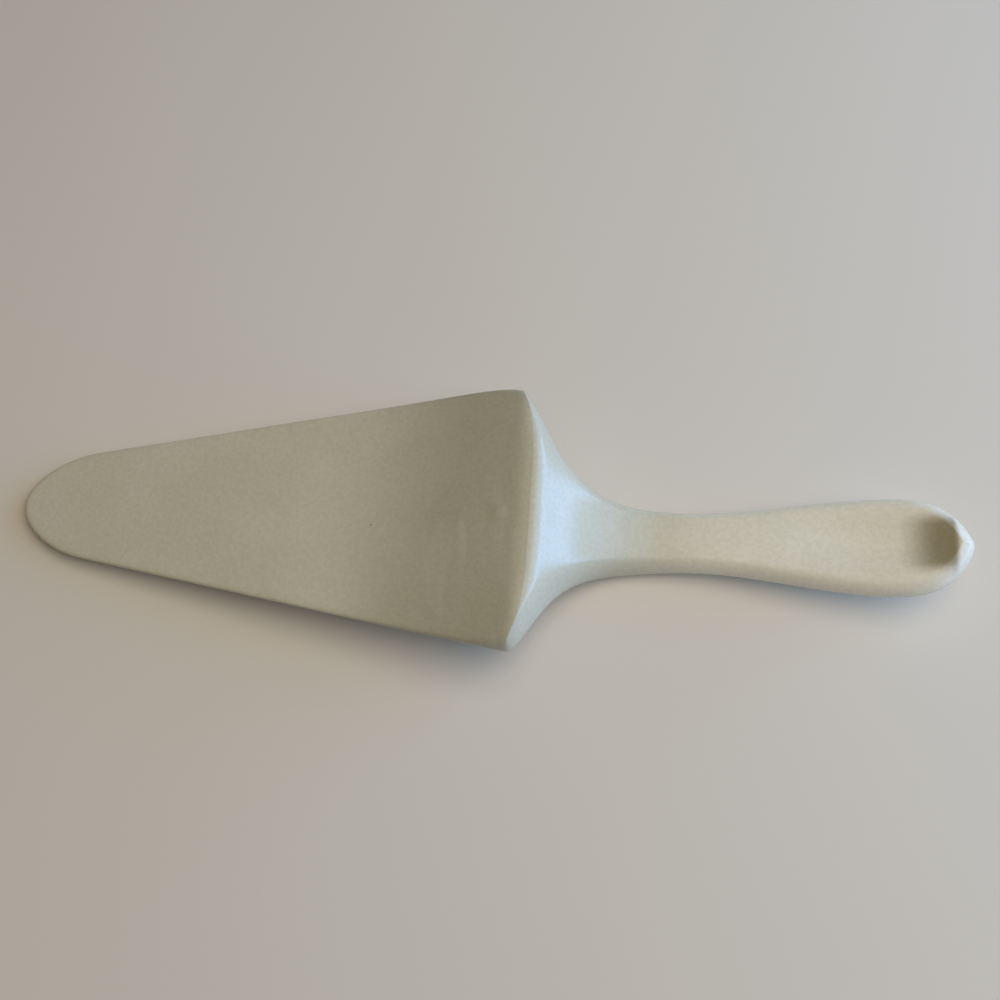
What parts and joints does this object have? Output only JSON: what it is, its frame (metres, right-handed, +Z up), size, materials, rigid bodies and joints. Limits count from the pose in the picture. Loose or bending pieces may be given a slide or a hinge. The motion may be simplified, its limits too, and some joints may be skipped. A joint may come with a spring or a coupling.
{
  "type": "cake server",
  "caption": "One-piece glazed porcelain cake server with a flat triangular blade, a raised hollow shoulder and a handle with a thumb dish.",
  "frame": {"origin": "on the table, under the middle of the server's length, as it lies face down on its tip and neck", "axes": "+X from the blade's tip towards the end of the handle, +Z up from the table, out of the underside; a half turn about X puts the serving face up"},
  "size_m": [0.2602, 0.074, 0.0254],
  "materials": {
    "porcelain": "glossy ivory glaze"
  },
  "bodies": {
    "root": {"blade": "porcelain", "shoulder": "porcelain", "handle": "porcelain"}
  },
  "joints": []
}
